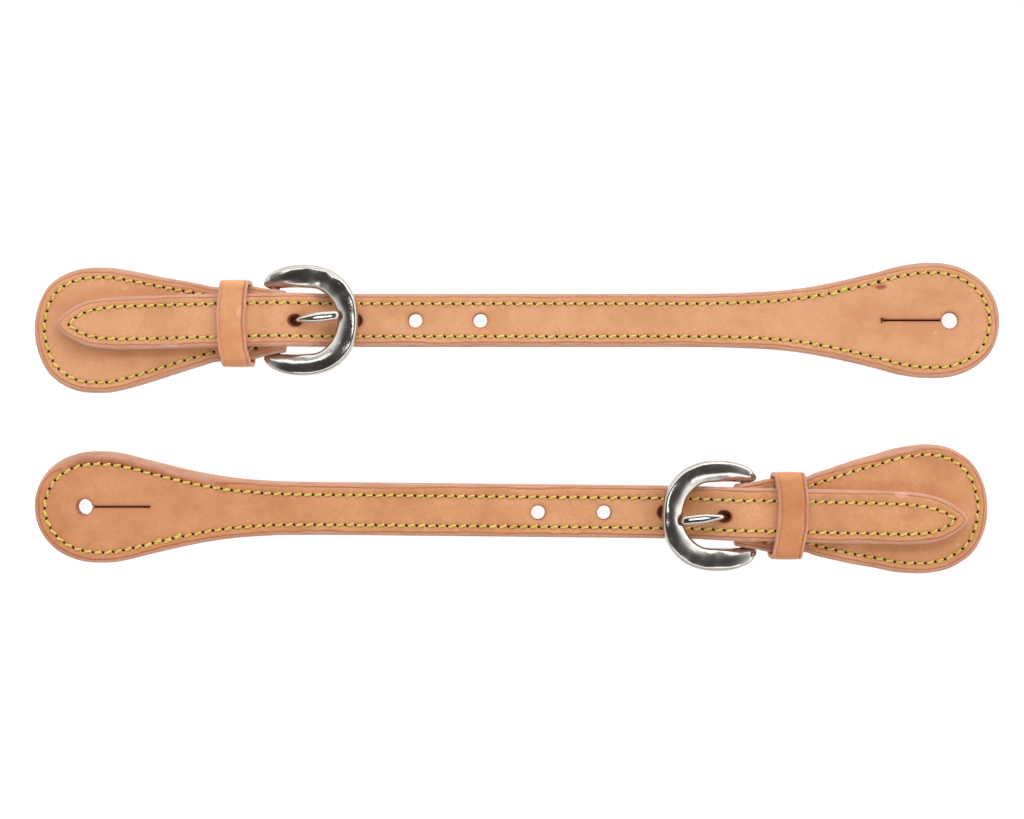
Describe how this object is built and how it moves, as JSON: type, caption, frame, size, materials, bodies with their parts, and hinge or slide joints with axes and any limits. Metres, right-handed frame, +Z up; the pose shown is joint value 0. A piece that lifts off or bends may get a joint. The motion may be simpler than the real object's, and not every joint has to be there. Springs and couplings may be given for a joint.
{
  "type": "pair of spur straps",
  "caption": "Two-layer stitched leather straps with teardrop button tabs, sliding keepers and horseshoe buckles, buckled and laid side by side.",
  "frame": {"origin": "centre of the pair's bounding box, at the plane the straps lie on", "axes": "+X along both straps, towards the left strap's long tab; +Y across them, from the right strap to the left strap; +Z up, out of the leather's face"},
  "size_m": [0.2896, 0.0932, 0.0119],
  "materials": {
    "outer_leather": "satin",
    "lining_leather": "matte",
    "keeper_leather": "satin",
    "thread": "satin",
    "nickel": "polished"
  },
  "bodies": {
    "left_strap": {"left_long_strap_outer": "outer_leather", "left_long_strap_lining": "lining_leather", "left_long_strap_needle_thread": "thread", "left_long_strap_bobbin_thread": "thread", "left_short_strap_outer": "outer_leather", "left_short_strap_lining": "lining_leather", "left_short_strap_needle_thread": "thread", "left_short_strap_bobbin_thread": "thread"},
    "left_keeper": {"left_keeper": "keeper_leather", "left_keeper_stitches": "thread"},
    "left_buckle": {"left_buckle_frame": "nickel"},
    "left_prong": {"left_buckle_prong": "nickel"},
    "right_strap": {"right_long_strap_outer": "outer_leather", "right_long_strap_lining": "lining_leather", "right_long_strap_needle_thread": "thread", "right_long_strap_bobbin_thread": "thread", "right_short_strap_outer": "outer_leather", "right_short_strap_lining": "lining_leather", "right_short_strap_needle_thread": "thread", "right_short_strap_bobbin_thread": "thread"},
    "right_keeper": {"right_keeper": "keeper_leather", "right_keeper_stitches": "thread"},
    "right_buckle": {"right_buckle_frame": "nickel"},
    "right_prong": {"right_buckle_prong": "nickel"}
  },
  "joints": [
    {"name": "left_buckle_swing", "type": "hinge", "parent": "left_strap", "child": "left_buckle", "pos_m": [-0.0727, 0.02925, 0.00375], "axis": [0, -1, 0], "range_deg": [0, 4]},
    {"name": "left_prong_lift", "type": "hinge", "parent": "left_buckle", "child": "left_prong", "pos_m": [-0.0727, 0.02925, 0.00375], "axis": [0, -1, 0], "range_deg": [0, 4]},
    {"name": "left_keeper_slide", "type": "slide", "parent": "left_strap", "child": "left_keeper", "axis": [1, 0, 0], "range_m": [0, 0.002]},
    {"name": "right_strap_apart", "type": "slide", "parent": "left_strap", "child": "right_strap", "axis": [0, -1, 0], "range_m": [0, 0.12]},
    {"name": "right_buckle_swing", "type": "hinge", "parent": "right_strap", "child": "right_buckle", "pos_m": [0.0686, -0.02925, 0.00375], "axis": [0, 1, 0], "range_deg": [0, 4]},
    {"name": "right_prong_lift", "type": "hinge", "parent": "right_buckle", "child": "right_prong", "pos_m": [0.0686, -0.02925, 0.00375], "axis": [0, 1, 0], "range_deg": [0, 4]},
    {"name": "right_keeper_slide", "type": "slide", "parent": "right_strap", "child": "right_keeper", "axis": [-1, 0, 0], "range_m": [0, 0.002]}
  ]
}
